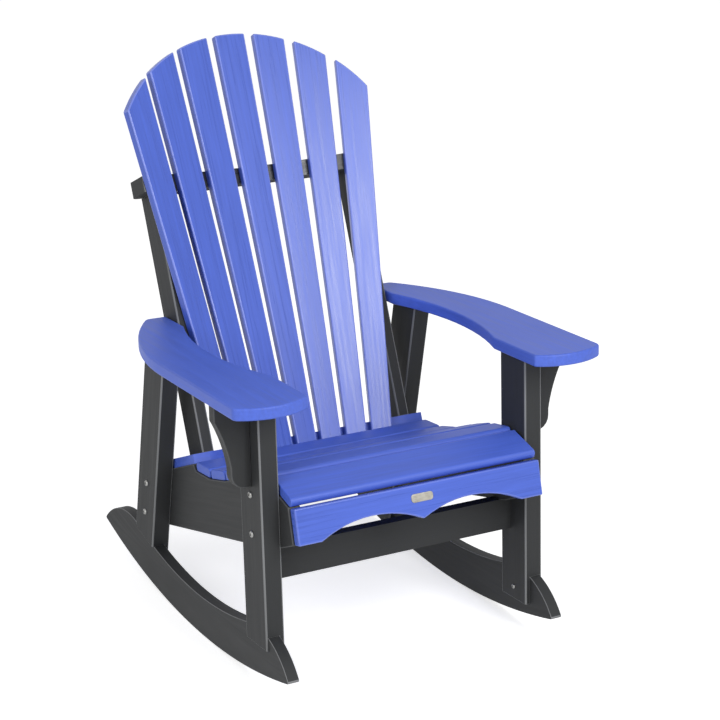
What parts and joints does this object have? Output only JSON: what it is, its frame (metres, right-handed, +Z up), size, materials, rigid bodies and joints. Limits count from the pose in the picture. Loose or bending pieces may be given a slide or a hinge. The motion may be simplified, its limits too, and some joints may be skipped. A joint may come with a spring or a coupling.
{
  "type": "rocking chair",
  "caption": "Fan-back rocking chair of lumber boards with a bowed slatted back, a scooped slatted seat, wide bracketed arms and curved rockers.",
  "frame": {"origin": "floor level, midway between the two rockers and midway between their front and rear tips", "axes": "+X to the right of someone facing the chair, -Y the way the chair faces, +Z up from the floor"},
  "size_m": [0.78, 0.9, 1.1197],
  "materials": {
    "blue_lumber": "blue solid-coloured plastic lumber, satin with a faint grain",
    "black_lumber": "black solid-coloured plastic lumber, satin with a faint grain",
    "stainless": "bright stainless steel"
  },
  "bodies": {
    "root": {"rocker_left": "black_lumber", "rocker_right": "black_lumber", "front_leg_left": "black_lumber", "front_leg_right": "black_lumber", "rear_leg_left": "black_lumber", "rear_leg_right": "black_lumber", "side_rail_left": "black_lumber", "side_rail_right": "black_lumber", "front_stretcher": "black_lumber", "front_apron": "blue_lumber", "seat_slat_1": "blue_lumber", "seat_slat_2": "blue_lumber", "seat_slat_3": "blue_lumber", "seat_slat_4": "blue_lumber", "seat_slat_5": "blue_lumber", "seat_slat_6": "blue_lumber", "lower_back_rail": "blue_lumber", "back_upright_left": "black_lumber", "back_upright_right": "black_lumber", "upper_back_rail": "black_lumber", "back_slat_1": "blue_lumber", "back_slat_2": "blue_lumber", "back_slat_3": "blue_lumber", "back_slat_4": "blue_lumber", "back_slat_5": "blue_lumber", "back_slat_6": "blue_lumber", "back_slat_7": "blue_lumber", "arm_left": "blue_lumber", "arm_right": "blue_lumber", "arm_bracket_left": "black_lumber", "arm_bracket_right": "black_lumber", "leg_bolts": "stainless", "leg_bolt_nuts": "stainless", "rocker_bolts": "stainless", "upright_screws": "stainless", "arm_screws": "stainless"}
  },
  "joints": []
}
